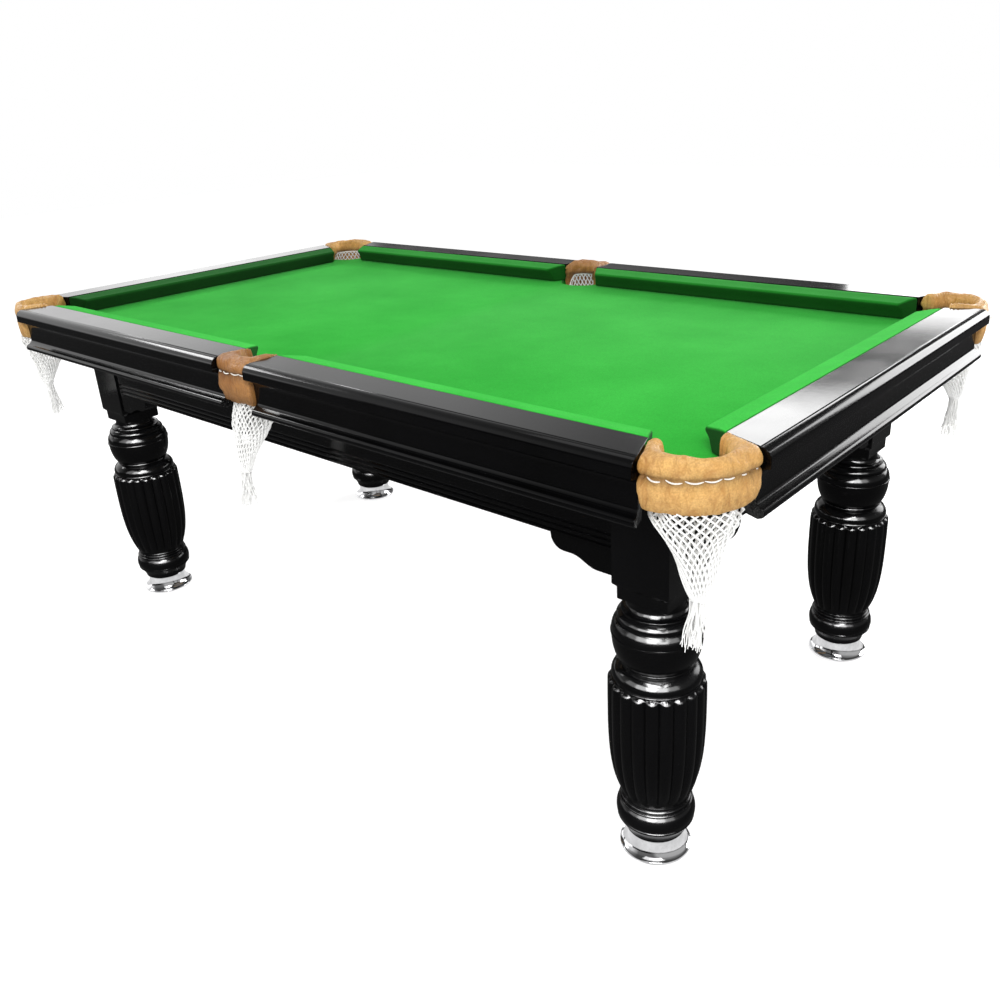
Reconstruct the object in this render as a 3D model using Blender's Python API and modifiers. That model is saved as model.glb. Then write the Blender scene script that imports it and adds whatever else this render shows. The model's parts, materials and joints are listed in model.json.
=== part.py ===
"""Slate pool table with leather and net pockets, turned legs and screw-adjusted feet.

Metres, +Z up. The origin is on the floor under the middle of the table. +X runs along the
table to its right end and -Y is its front side.
"""

import math

import bmesh
import bpy
from mathutils import Matrix, Vector

# Rails and playing surface
TABLE_HEIGHT = 0.800        # floor to the flat top of the rails
RAIL_LENGTH = 2.010         # between the outer top edges of the two end rails
RAIL_WIDTH = 1.132          # between the outer top edges of the two long sides
CAP_WIDTH = 0.067           # flat wooden top, from the outer edge to the cushion
CUSHION_REACH = 0.113       # outer edge to cushion nose
NOSE_HEIGHT = 0.033         # cushion nose above the cloth
RAIL_DEPTH = 0.102          # top of the rail to the bottom of its bead
FASCIA_INNER = 0.0302       # inner face of the rail's skirt, inward from the outer edge
BED_HEIGHT = 0.758          # top of the cloth
CLOTH_THICKNESS = 0.0012
SLATE_THICKNESS = 0.019
SLATE_INSET = 0.031         # slate edge, inward from the rail's outer edge
SLATE_PIECES = ("left", "centre", "right")

# Pockets
MOUTH_INSET = 0.071         # mouth centre, inward from the rail's outer edge
CORNER_MOUTH_RADIUS = 0.043
SIDE_MOUTH_RADIUS = 0.040
LEATHER_TOP = 0.806
CORNER_LEATHER_BOTTOM = 0.7285
SIDE_LEATHER_BOTTOM = 0.7165
CORNER_FRONT_RADIUS = 0.108     # a leather's front is a wide arc
CORNER_FRONT_SETBACK = 0.050    # centre of that arc, behind the mouth's centre
SIDE_FRONT_RADIUS = 0.500
SIDE_FRONT_SETBACK = 0.430
CORNER_GAP = 0.115          # rail end, from the table's corner, at the outer edge
CORNER_SLANT = 0.39         # how fast the rail end runs back towards the cushion
CORNER_JAW_SLANT = 0.50
SIDE_GAP = 0.0493           # half the gap between two rails at a side pocket
SIDE_JAW_SLANT = 0.60
CORNER_LEATHER_SWEEP = math.radians(118)
SIDE_LEATHER_SWEEP = math.radians(95)
IRON_WIDTH = 0.006
IRON_HEIGHT = 0.0072
CORNER_IRON_SWEEP = math.radians(95)
SIDE_IRON_SWEEP = math.radians(46)
NET_DROP = 0.005                # from a leather's underside to the top of its net
NET_BOTTOM = 0.600
NET_WALL = 0.0015
TASSEL_BOTTOM = 0.512

# Frame
LEG_X = 0.807
LEG_Y = 0.384
FRAME_TOP = BED_HEIGHT - CLOTH_THICKNESS - SLATE_THICKNESS - 0.0006
BLOCK_HALF = 0.052          # upper square of the leg
SQUARE_HALF = 0.046         # lower square of the leg
BLOCK_BOTTOM = 0.521
SQUARE_BOTTOM = 0.491
APRON_RECESS = 0.004        # apron face behind the leg block's face
APRON_THICKNESS = 0.025
APRON_BOTTOM = 0.573
GROOVE_HEIGHTS = (0.580, 0.590, 0.600)
GROOVE_DEPTH = 0.003
BEAM_THICKNESS = 0.045
BEAM_HEIGHT = 0.090

# Legs and levelling feet
LEG_BOTTOM = 0.040
BORE_RADIUS = 0.0085
BORE_TOP = 0.118
STEM_RADIUS = 0.008
STEM_TOP = 0.1155
FOOT_TOP = 0.0385
FOOT_BORE_BOTTOM = 0.011

GAP = 0.0003                # between pieces that touch
LEG_STEPS = 24
LONG_SIDES = {"front": -1, "back": 1}
ENDS = {"left": -1, "right": 1}
POCKET_COLUMNS = {"left": -1, "middle": 0, "right": 1}


# ---------------------------------------------------------------- scene and materials

def clear_scene():
    for obj in list(bpy.data.objects):
        bpy.data.objects.remove(obj, do_unlink=True)


def collection(name):
    group = bpy.data.collections.new(name)
    bpy.context.scene.collection.children.link(group)
    return group


def material(name, colour, roughness, metallic=0.0):
    mat = bpy.data.materials.new(name)
    mat.use_nodes = True
    shader = mat.node_tree.nodes["Principled BSDF"]
    shader.inputs["Base Color"].default_value = (*colour, 1.0)
    shader.inputs["Roughness"].default_value = roughness
    shader.inputs["Metallic"].default_value = metallic
    return mat


clear_scene()
PARTS = collection("pool_table")
CUTTERS = collection("cutters")
LACQUER = material("black_lacquer", (0.010, 0.010, 0.011), 0.18)
CLOTH = material("green_cloth", (0.050, 0.560, 0.070), 0.95)
SLATE = material("grey_slate", (0.120, 0.125, 0.130), 0.70)
LEATHER = material("tan_leather", (0.720, 0.400, 0.110), 0.50)
IRON = material("black_iron", (0.030, 0.030, 0.030), 0.55, 0.6)
COTTON = material("white_cotton", (0.850, 0.850, 0.830), 0.90)
TIMBER = material("frame_timber", (0.330, 0.220, 0.130), 0.75)
CHROME = material("chrome", (0.800, 0.800, 0.810), 0.08, 1.0)
ZINC = material("zinc_steel", (0.550, 0.560, 0.580), 0.35, 1.0)


# ---------------------------------------------------------------- shape helpers

def move_to(obj, group):
    for owner in list(obj.users_collection):
        owner.objects.unlink(obj)
    group.objects.link(obj)


def mesh_object(name, bm, mat, group=None):
    """Turn a bmesh into a named object with outward faces."""
    bmesh.ops.recalc_face_normals(bm, faces=bm.faces)
    mesh = bpy.data.meshes.new(name)
    bm.to_mesh(mesh)
    bm.free()
    mesh.materials.append(mat)
    obj = bpy.data.objects.new(name, mesh)
    (group or PARTS).objects.link(obj)
    return obj


def box(name, low, high, mat, group=None):
    """A box between two corners, with its origin at its centre."""
    low, high = Vector(low), Vector(high)
    bm = bmesh.new()
    bmesh.ops.create_cube(bm, size=1.0)
    bmesh.ops.scale(bm, vec=high - low, verts=bm.verts)
    obj = mesh_object(name, bm, mat, group)
    obj.location = (low + high) / 2
    return obj


def cylinder(name, radius, bottom, top, centre, mat, segments=24, group=None):
    bm = bmesh.new()
    bmesh.ops.create_cone(bm, cap_ends=True, segments=segments, radius1=radius,
                          radius2=radius, depth=top - bottom)
    obj = mesh_object(name, bm, mat, group)
    obj.location = (centre[0], centre[1], (bottom + top) / 2)
    return obj


def extruded(name, outline, length, mat):
    """Extrude a flat outline along its local Z and turn it into a mesh object."""
    curve = bpy.data.curves.new(name + "_outline", "CURVE")
    curve.dimensions = "2D"
    curve.fill_mode = "BOTH"
    curve.extrude = length / 2
    spline = curve.splines.new("POLY")
    spline.points.add(len(outline) - 1)
    for point, (x, y) in zip(spline.points, outline):
        point.co = (x, y, 0.0, 1.0)
    spline.use_cyclic_u = True
    guide = bpy.data.objects.new(name + "_outline", curve)
    PARTS.objects.link(guide)
    bpy.context.view_layer.update()
    evaluated = guide.evaluated_get(bpy.context.evaluated_depsgraph_get())
    mesh = bpy.data.meshes.new_from_object(evaluated)
    bm = bmesh.new()
    bm.from_mesh(mesh)
    bmesh.ops.remove_doubles(bm, verts=bm.verts, dist=1e-5)
    bpy.data.objects.remove(guide, do_unlink=True)
    return mesh_object(name, bm, mat)


def turned(name, profile, steps, mat):
    """Turn a profile of (radius, height) points about the object's own Z axis."""
    mesh = bpy.data.meshes.new(name)
    edges = [(i, i + 1) for i in range(len(profile) - 1)]
    mesh.from_pydata([(radius, 0.0, height) for radius, height in profile], edges, [])
    mesh.materials.append(mat)
    obj = bpy.data.objects.new(name, mesh)
    PARTS.objects.link(obj)
    screw = obj.modifiers.new("turn", "SCREW")
    screw.steps = steps
    screw.render_steps = steps
    screw.use_merge_vertices = True
    screw.merge_threshold = 0.00005
    screw.use_smooth_shade = True
    return obj


def lofted(name, sections, mat):
    """Skin a row of equal-length point rings and cap both ends."""
    bm = bmesh.new()
    rings = [[bm.verts.new(point) for point in section] for section in sections]
    count = len(rings[0])
    for ring, following in zip(rings, rings[1:]):
        for i in range(count):
            j = (i + 1) % count
            bm.faces.new((ring[i], ring[j], following[j], following[i]))
    bm.faces.new(rings[0][::-1])
    bm.faces.new(rings[-1])
    return mesh_object(name, bm, mat)


def boolean(obj, cutter, operation="DIFFERENCE"):
    """Cut or join with another object, which becomes a hidden guide."""
    move_to(cutter, CUTTERS)
    cutter.hide_render = True
    cutter.display_type = "WIRE"
    modifier = obj.modifiers.new(operation.lower(), "BOOLEAN")
    modifier.operation = operation
    modifier.solver = "EXACT"
    modifier.object = cutter


def arc(centre, radius, start, end, count):
    """Points on a circular arc, angles in degrees."""
    angles = [math.radians(start + (end - start) * i / (count - 1)) for i in range(count)]
    return [(centre[0] + radius * math.cos(a), centre[1] + radius * math.sin(a)) for a in angles]


def facing(outward, distance, height=0.0):
    """Placement whose local X points outward from the table, Y up and Z along the side."""
    out = Vector(outward)
    up = Vector((0, 0, 1))
    axes = Matrix((out, up, out.cross(up))).transposed().to_4x4()
    return Matrix.Translation(out * distance + up * height) @ axes


# ---------------------------------------------------------------- rails and cushions

def corner_setback(inward):
    """Distance from the table's corner to a rail's end, at a distance in from its edge."""
    on_rail = min(max(inward, 0.0), CAP_WIDTH)
    past_rail = max(inward - CAP_WIDTH, 0.0)
    return CORNER_GAP + CORNER_SLANT * on_rail + CORNER_JAW_SLANT * past_rail


def side_setback(inward):
    """Distance from the side pocket's centre to a rail's end."""
    return SIDE_GAP + SIDE_JAW_SLANT * max(inward - CAP_WIDTH, 0.0)


def rail_outline():
    """Cross-section of a rail: cap, rounded edge, cove, skirt and bead; x is outward."""
    top = TABLE_HEIGHT
    bottom = TABLE_HEIGHT - RAIL_DEPTH
    seat = BED_HEIGHT + GAP
    round_edge = arc((-0.004, top - 0.016), 0.016, 90, 0, 5)
    bead = arc((-0.001, bottom + 0.0095), 0.007, 80, -80, 5)
    return ([(-CAP_WIDTH, top)] + round_edge
            + [(0.012, top - 0.028), (0.003, top - 0.036), (-0.008, top - 0.040),
               (-0.008, bottom + 0.024), (-0.003, bottom + 0.018)]
            + bead
            + [(-0.004, bottom), (-FASCIA_INNER, bottom), (-FASCIA_INNER, seat),
               (-CAP_WIDTH, seat)])


def cushion_outline():
    """Cross-section of a cushion: sloping top, rounded nose and undercut face."""
    nose = BED_HEIGHT + NOSE_HEIGHT
    back = -CAP_WIDTH - GAP
    round_nose = arc((-CUSHION_REACH + 0.005, nose), 0.005, 100, 205, 4)
    return ([(back, TABLE_HEIGHT - 0.0005)] + round_nose
            + [(-CUSHION_REACH + 0.017, BED_HEIGHT + GAP), (back, BED_HEIGHT + GAP)])


def place_run(obj, outward, distance, start, end):
    """Set both ends of an extruded piece from its distance inward, then put it on its side."""
    for vertex in obj.data.vertices:
        inward = -vertex.co.x
        vertex.co.z = end(inward) if vertex.co.z > 0 else start(inward)
    obj.matrix_world = facing(outward, distance)


def long_side_runs(outline, prefix, mat):
    """Two pieces on each long side, from the side pocket to a corner pocket."""
    half = RAIL_LENGTH / 2
    for side, sy in LONG_SIDES.items():
        for end_name, sx in ENDS.items():
            obj = extruded(f"{prefix}_{side}_{end_name}", outline, 1.0, mat)
            run = sx * sy       # local Z points to +X on the back side and to -X on the front
            near = (lambda inward: side_setback(inward))
            far = (lambda inward: half - corner_setback(inward))
            if run > 0:
                place_run(obj, (0, sy, 0), RAIL_WIDTH / 2, near, far)
            else:
                place_run(obj, (0, sy, 0), RAIL_WIDTH / 2,
                          lambda inward: -far(inward), lambda inward: -near(inward))


def end_runs(outline, prefix, mat):
    """One piece across each end, between its two corner pockets."""
    half = RAIL_WIDTH / 2
    for end_name, sx in ENDS.items():
        obj = extruded(f"{prefix}_{end_name}_end", outline, 1.0, mat)
        place_run(obj, (sx, 0, 0), RAIL_LENGTH / 2,
                  lambda inward: corner_setback(inward) - half,
                  lambda inward: half - corner_setback(inward))


# ---------------------------------------------------------------- bed

def pockets():
    """Name, mouth centre, outward angle and whether it is a corner, for each pocket."""
    for side, sy in LONG_SIDES.items():
        for column, sx in POCKET_COLUMNS.items():
            centre = (sx * (RAIL_LENGTH / 2 - MOUTH_INSET), sy * (RAIL_WIDTH / 2 - MOUTH_INSET))
            yield f"{side}_{column}", centre, math.atan2(sy, sx), sx != 0


def pocket_cutters(centre, angle, is_corner):
    """Guides that cut a pocket's opening through slate and cloth."""
    low, high = FRAME_TOP - 0.05, TABLE_HEIGHT
    outward = Vector((math.cos(angle), math.sin(angle)))
    if not is_corner:
        middle = Vector(centre) + outward * 0.016
        return [cylinder("side_cut", 0.060, low, high, middle, SLATE, 32, CUTTERS)]
    notch = box("corner_cut", (-0.034, -0.0755, low), (0.2, 0.0755, high), SLATE, CUTTERS)
    notch.location = (*(Vector(centre) + outward * notch.location.x), notch.location.z)
    notch.rotation_euler.z = angle
    return [cylinder("mouth_cut", 0.046, low, high, centre, SLATE, 32, CUTTERS), notch]


def bed():
    """Three slates side by side and the cloth stretched over them."""
    half_x = RAIL_LENGTH / 2 - SLATE_INSET
    half_y = RAIL_WIDTH / 2 - SLATE_INSET
    slate_top = BED_HEIGHT - CLOTH_THICKNESS - GAP
    slate_bottom = slate_top - SLATE_THICKNESS
    width = 2 * half_x / len(SLATE_PIECES)
    pieces = []
    for i, column in enumerate(SLATE_PIECES):
        low_x = -half_x + i * width + GAP / 2
        slate = box(f"slate_{column}", (low_x, -half_y, slate_bottom),
                    (low_x + width - GAP, half_y, slate_top), SLATE)
        pieces.append(slate)
    cloth = box("bed_cloth", (-half_x, -half_y, BED_HEIGHT - CLOTH_THICKNESS),
                (half_x, half_y, BED_HEIGHT), CLOTH)
    for name, centre, angle, is_corner in pockets():
        slate = pieces[1 + POCKET_COLUMNS[name.split("_")[1]]]
        for cutter in pocket_cutters(centre, angle, is_corner):
            boolean(slate, cutter)
            boolean(cloth, cutter)


# ---------------------------------------------------------------- pockets

def rail_clearance(theta, is_corner):
    """Distance from the mouth's centre to the rail's end face, along an angle from outward."""
    theta = abs(theta)
    if not is_corner:
        return SIDE_GAP / math.sin(theta) if theta > 0.1 else math.inf
    turn = theta + math.pi / 4
    closing = CORNER_SLANT * math.sin(turn) - math.cos(turn)
    offset = CORNER_GAP - MOUTH_INSET + CORNER_SLANT * MOUTH_INSET
    return offset / closing if closing > 0.1 else math.inf


def polar(radius, theta, height):
    return Vector((radius * math.cos(theta), radius * math.sin(theta), height))


def swept(name, section, sweep, count, centre, angle, mat):
    """Carry a cross-section of (radius, height) around the mouth, symmetric about outward."""
    angles = [sweep * (2 * i / (count - 1) - 1) for i in range(count)]
    sections = [[polar(radius, theta, height) for radius, height in section(theta)]
                for theta in angles]
    obj = lofted(name, sections, mat)
    obj.location = (*centre, 0.0)
    obj.rotation_euler.z = angle
    return obj


def leather_bottom(is_corner):
    return CORNER_LEATHER_BOTTOM if is_corner else SIDE_LEATHER_BOTTOM


def leather_outer(theta, is_corner):
    """How far out a leather reaches along an angle: its front, or the end of a rail."""
    radius = CORNER_FRONT_RADIUS if is_corner else SIDE_FRONT_RADIUS
    setback = CORNER_FRONT_SETBACK if is_corner else SIDE_FRONT_SETBACK
    front = math.sqrt(radius ** 2 - (setback * math.sin(theta)) ** 2) - setback * math.cos(theta)
    return min(front, rail_clearance(theta, is_corner) - 2 * GAP)


def leather_section(theta, is_corner):
    """Padded roll on top, a sewn waist and a skirt that draws in towards its lower edge."""
    inner = CORNER_MOUTH_RADIUS if is_corner else SIDE_MOUTH_RADIUS
    width = leather_outer(theta, is_corner) - inner
    shape = ((0.00, 0.00), (0.00, 0.84), (0.20, 0.96), (0.50, 1.00), (0.84, 0.95), (0.99, 0.80),
             (0.94, 0.67), (1.00, 0.54), (0.96, 0.28), (0.80, 0.00))
    bottom = leather_bottom(is_corner)
    height = LEATHER_TOP - bottom
    return [(inner + width * across, bottom + height * up) for across, up in shape]


def iron_section(is_corner):
    """Flat bar under the leather, round the mouth."""
    top = leather_bottom(is_corner) - GAP
    low = top - IRON_HEIGHT
    inner = (CORNER_MOUTH_RADIUS if is_corner else SIDE_MOUTH_RADIUS) + GAP
    outer = inner + IRON_WIDTH
    return [(inner, low), (inner, top), (outer, top), (outer, low)]


def net_ring(radius, height, is_corner, sides=14):
    """One ring of the net, whose lower rings hang further outward than its mouth."""
    top = leather_bottom(is_corner) - NET_DROP
    top_shift, bottom_shift = (0.0, 0.030) if is_corner else (0.016, 0.050)
    fall = min((top - height) / (top - NET_BOTTOM), 1.0)
    shift = top_shift + (bottom_shift - top_shift) * fall
    return [polar(radius, 2 * math.pi * i / sides, height) + Vector((shift, 0, 0))
            for i in range(sides)]


def net(name, centre, angle, is_corner):
    """Open-topped bag of netting, drawn into a knot with a tassel below it."""
    mouth = 0.058 if is_corner else 0.046
    if is_corner:
        bag = ((0.0, 1.00), (0.25, 0.97), (0.51, 0.84), (0.72, 0.50), (0.90, 0.24))
    else:
        bag = ((0.0, 1.00), (0.20, 0.90), (0.45, 0.72), (0.70, 0.48), (0.90, 0.24))
    top = leather_bottom(is_corner) - NET_DROP
    depth = top - NET_BOTTOM
    outside = [(mouth * scale, top - depth * down) for down, scale in bag]
    inside = [(radius - NET_WALL, height) for radius, height in outside]
    tassel = ((0.0110, NET_BOTTOM - 0.004), (0.0130, NET_BOTTOM - 0.040), (0.0170, TASSEL_BOTTOM))
    path = inside[::-1] + outside + list(tassel)
    obj = lofted(name, [net_ring(r, z, is_corner) for r, z in path], COTTON)
    obj.location = (*centre, 0.0)
    obj.rotation_euler.z = angle


def pocket_set():
    for name, centre, angle, is_corner in pockets():
        leather_sweep = CORNER_LEATHER_SWEEP if is_corner else SIDE_LEATHER_SWEEP
        iron_sweep = CORNER_IRON_SWEEP if is_corner else SIDE_IRON_SWEEP
        leather = swept(f"pocket_leather_{name}",
                        lambda theta, corner=is_corner: leather_section(theta, corner),
                        leather_sweep, 17 if is_corner else 13, centre, angle, LEATHER)
        leather.data.shade_smooth()
        swept(f"pocket_iron_{name}",
              lambda theta, corner=is_corner: iron_section(corner),
              iron_sweep, 11, centre, angle, IRON)
        net(f"pocket_net_{name}", centre, angle, is_corner)


# ---------------------------------------------------------------- frame

def apron_outline():
    """Cross-section of an apron with grooves along its lower edge; x is outward."""
    points = [(0.0, APRON_BOTTOM)]
    for height in GROOVE_HEIGHTS:
        points += [(0.0, height - GROOVE_DEPTH), (-GROOVE_DEPTH, height), (0.0, height + GROOVE_DEPTH)]
    return points + [(0.0, FRAME_TOP), (-APRON_THICKNESS, FRAME_TOP), (-APRON_THICKNESS, APRON_BOTTOM)]


def bracket_outline():
    """Shaped bracket under an apron; x runs away from the leg and y is the height."""
    top = APRON_BOTTOM - GAP
    hollow = [(0.030 + 0.048 * i / 6, 0.530 + 0.0155 * (1 - math.cos(math.pi * i / 6)) / 2)
              for i in range(7)]
    shoulder = arc((0.096, 0.5705), 0.025, -90, 0, 6)
    return [(GAP, 0.530)] + hollow + shoulder + [(0.121, top), (GAP, top)]


def aprons_and_brackets():
    """Aprons between the leg blocks, with a bracket on each side of every leg."""
    spans = [("front", (0, -1, 0), LEG_Y, LEG_X), ("back", (0, 1, 0), LEG_Y, LEG_X),
             ("left", (-1, 0, 0), LEG_X, LEG_Y), ("right", (1, 0, 0), LEG_X, LEG_Y)]
    for side, outward, leg_out, leg_along in spans:
        face = leg_out + BLOCK_HALF - APRON_RECESS
        half = leg_along - BLOCK_HALF - GAP
        apron = extruded(f"apron_{side}", apron_outline(), 2 * half, LACQUER)
        apron.matrix_world = facing(outward, face)
        for end, sign in (("a", -1), ("b", 1)):
            bracket = extruded(f"bracket_{side}_{end}", bracket_outline(), APRON_THICKNESS, LACQUER)
            along = Vector(outward).cross(Vector((0, 0, 1))) * sign
            axes = Matrix((-along, (0, 0, 1), (-along).cross(Vector((0, 0, 1))))).transposed()
            place = Vector(outward) * (face - APRON_THICKNESS / 2) + along * (half + GAP)
            bracket.matrix_world = Matrix.Translation(place) @ axes.to_4x4()


def cross_beams():
    """Beams from apron to apron under the two joints between the slates."""
    half_y = LEG_Y + BLOCK_HALF - APRON_RECESS - APRON_THICKNESS - GAP
    joint_x = (RAIL_LENGTH / 2 - SLATE_INSET) / 3
    for end_name, sx in ENDS.items():
        box(f"cross_beam_{end_name}",
            (sx * joint_x - BEAM_THICKNESS / 2, -half_y, FRAME_TOP - BEAM_HEIGHT),
            (sx * joint_x + BEAM_THICKNESS / 2, half_y, FRAME_TOP), TIMBER)


# ---------------------------------------------------------------- legs and feet

def leg_profile():
    """Turned part of the leg, from inside its square down to its base and up its bore."""
    collar = [(0.0, 0.500), (0.044, 0.500), (0.045, 0.482), (0.055, 0.476), (0.056, 0.468),
              (0.062, 0.462), (0.065, 0.455)]
    bun = [(0.0715, 0.446), (0.0738, 0.434), (0.0738, 0.423), (0.0705, 0.404), (0.0640, 0.387),
           (0.0575, 0.377)]
    shoulder = [(0.0590, 0.372), (0.0700, 0.361), (0.0735, 0.352), (0.0720, 0.344)]
    barrel = [(0.0765, 0.340), (0.0785, 0.325), (0.0805, 0.280), (0.0802, 0.235), (0.0770, 0.190),
              (0.0710, 0.157), (0.0630, 0.130), (0.0575, 0.114)]
    foot_ring = [(0.0610, 0.102), (0.0660, 0.093), (0.0673, 0.082), (0.0655, 0.071),
                 (0.0600, 0.066), (0.0560, 0.055), (0.0515, 0.0405), (0.0505, LEG_BOTTOM)]
    bore = [(BORE_RADIUS, LEG_BOTTOM), (BORE_RADIUS, BORE_TOP), (0.0, BORE_TOP)]
    return collar + bun + shoulder + barrel + foot_ring + bore


def foot_profile():
    """Flared bell foot with a blind socket for the stem."""
    socket = [(0.0, FOOT_BORE_BOTTOM), (BORE_RADIUS, FOOT_BORE_BOTTOM), (BORE_RADIUS, FOOT_TOP)]
    bell = [(0.0420, FOOT_TOP), (0.0435, 0.032), (0.0465, 0.022), (0.0520, 0.0125),
            (0.0598, 0.0060), (0.0620, 0.0035), (0.0620, 0.0), (0.0, 0.0)]
    return socket + bell


def legs_and_feet():
    """Each leg is one turned post with a square head, on a bell foot with a screwed stem."""
    for side, sy in LONG_SIDES.items():
        for end_name, sx in ENDS.items():
            place = (sx * LEG_X, sy * LEG_Y)
            corner = f"{side}_{end_name}"
            leg = turned(f"leg_{corner}", leg_profile(), LEG_STEPS, LACQUER)
            leg.location = (*place, 0.0)
            for half, low, high in ((SQUARE_HALF, SQUARE_BOTTOM, BLOCK_BOTTOM + 0.001),
                                    (BLOCK_HALF, BLOCK_BOTTOM, FRAME_TOP)):
                head = box(f"leg_head_{corner}", (place[0] - half, place[1] - half, low),
                           (place[0] + half, place[1] + half, high), LACQUER)
                boolean(leg, head, "UNION")
            foot = turned(f"foot_{corner}", foot_profile(), LEG_STEPS, CHROME)
            foot.location = (*place, 0.0)
            cylinder(f"leveller_stem_{corner}", STEM_RADIUS, FOOT_BORE_BOTTOM + GAP, STEM_TOP,
                     place, ZINC, 16)


# ---------------------------------------------------------------- build

bed()
long_side_runs(rail_outline(), "rail", LACQUER)
end_runs(rail_outline(), "rail", LACQUER)
long_side_runs(cushion_outline(), "cushion", CLOTH)
end_runs(cushion_outline(), "cushion", CLOTH)
pocket_set()
aprons_and_brackets()
cross_beams()
legs_and_feet()
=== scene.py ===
"""Looks of the pool table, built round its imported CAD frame. Metres, in the table's own frame."""

import json
import math
import random

import bmesh
import bpy
from mathutils import Matrix, Vector, noise

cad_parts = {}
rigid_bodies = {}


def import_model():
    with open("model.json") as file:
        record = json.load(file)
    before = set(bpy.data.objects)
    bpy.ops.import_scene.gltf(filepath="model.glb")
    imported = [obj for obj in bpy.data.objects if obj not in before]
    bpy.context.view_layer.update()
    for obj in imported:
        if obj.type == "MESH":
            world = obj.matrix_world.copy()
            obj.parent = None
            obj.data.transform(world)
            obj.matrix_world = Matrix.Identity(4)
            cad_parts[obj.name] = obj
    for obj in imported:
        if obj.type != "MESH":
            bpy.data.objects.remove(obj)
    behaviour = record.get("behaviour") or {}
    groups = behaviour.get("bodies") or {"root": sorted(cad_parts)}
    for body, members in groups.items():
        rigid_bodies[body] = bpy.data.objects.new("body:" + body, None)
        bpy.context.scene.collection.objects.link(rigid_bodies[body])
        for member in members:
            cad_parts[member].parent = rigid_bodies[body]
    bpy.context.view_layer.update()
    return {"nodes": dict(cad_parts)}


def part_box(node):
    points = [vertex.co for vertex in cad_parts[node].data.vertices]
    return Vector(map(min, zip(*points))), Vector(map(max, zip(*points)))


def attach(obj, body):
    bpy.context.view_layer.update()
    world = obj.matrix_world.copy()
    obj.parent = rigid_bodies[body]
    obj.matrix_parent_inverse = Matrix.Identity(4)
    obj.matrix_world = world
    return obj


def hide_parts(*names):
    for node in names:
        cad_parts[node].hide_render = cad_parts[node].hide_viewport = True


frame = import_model()

# -------------------- dimensions shared with the CAD

RAIL_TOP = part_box("rail_front_left")[1].z
RAIL_LENGTH = 2.010  # over the outer edges of the end rails
RAIL_WIDTH = 1.132  # over the outer edges of the side rails
RAIL_DEPTH = 0.102
CAP_WIDTH = 0.067  # from a rail's outer edge in to its cushion
CUSHION_REACH = 0.113  # from a rail's outer edge in to the cushion's nose
NOSE_HEIGHT = 0.033  # of the cushion's nose above the cloth
FASCIA_INNER = 0.0302  # from a rail's outer edge in to the back of its skirt
BED_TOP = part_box("bed_cloth")[1].z
BED_HALF_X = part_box("bed_cloth")[1].x
BED_HALF_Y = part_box("bed_cloth")[1].y
MOUTH_INSET = 0.071  # from the rails' outer edges in to a pocket's centre
CORNER_MOUTH_RADIUS = 0.043
SIDE_MOUTH_RADIUS = 0.040
CORNER_FRONT_RADIUS = 0.108  # front curve of a leather, and how far in its centre lies
CORNER_FRONT_SETBACK = 0.050
SIDE_FRONT_RADIUS = 0.500
SIDE_FRONT_SETBACK = 0.423
CORNER_LEATHER_BOTTOM = 0.7290
SIDE_LEATHER_BOTTOM = 0.7172
CORNER_LEATHER_SWEEP = math.radians(127)  # from straight out to the tip of one arm
SIDE_LEATHER_SWEEP = math.radians(95)
CORNER_GAP = 0.115  # from the table's corner to the end of a rail
CORNER_SLANT = 0.39  # retreat of that end for each metre inward
CORNER_JAW_SLANT = 0.50  # the same for the cushion's end
SIDE_GAP = 0.0493  # from the table's middle to the end of a rail
SIDE_JAW_SLANT = 0.60
LEG_X = 0.807
LEG_Y = 0.384
LEG_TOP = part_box("leg_front_left")[1].z
STEM_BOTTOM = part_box("leveller_stem_front_left")[0].z
STEM_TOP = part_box("leveller_stem_front_left")[1].z
REEDS = 20
LONG_SIDES = {"front": -1, "back": 1}
ENDS = {"left": -1, "right": 1}
POCKET_COLUMNS = {"left": -1, "middle": 0, "right": 1}


# -------------------- material nodes

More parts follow.
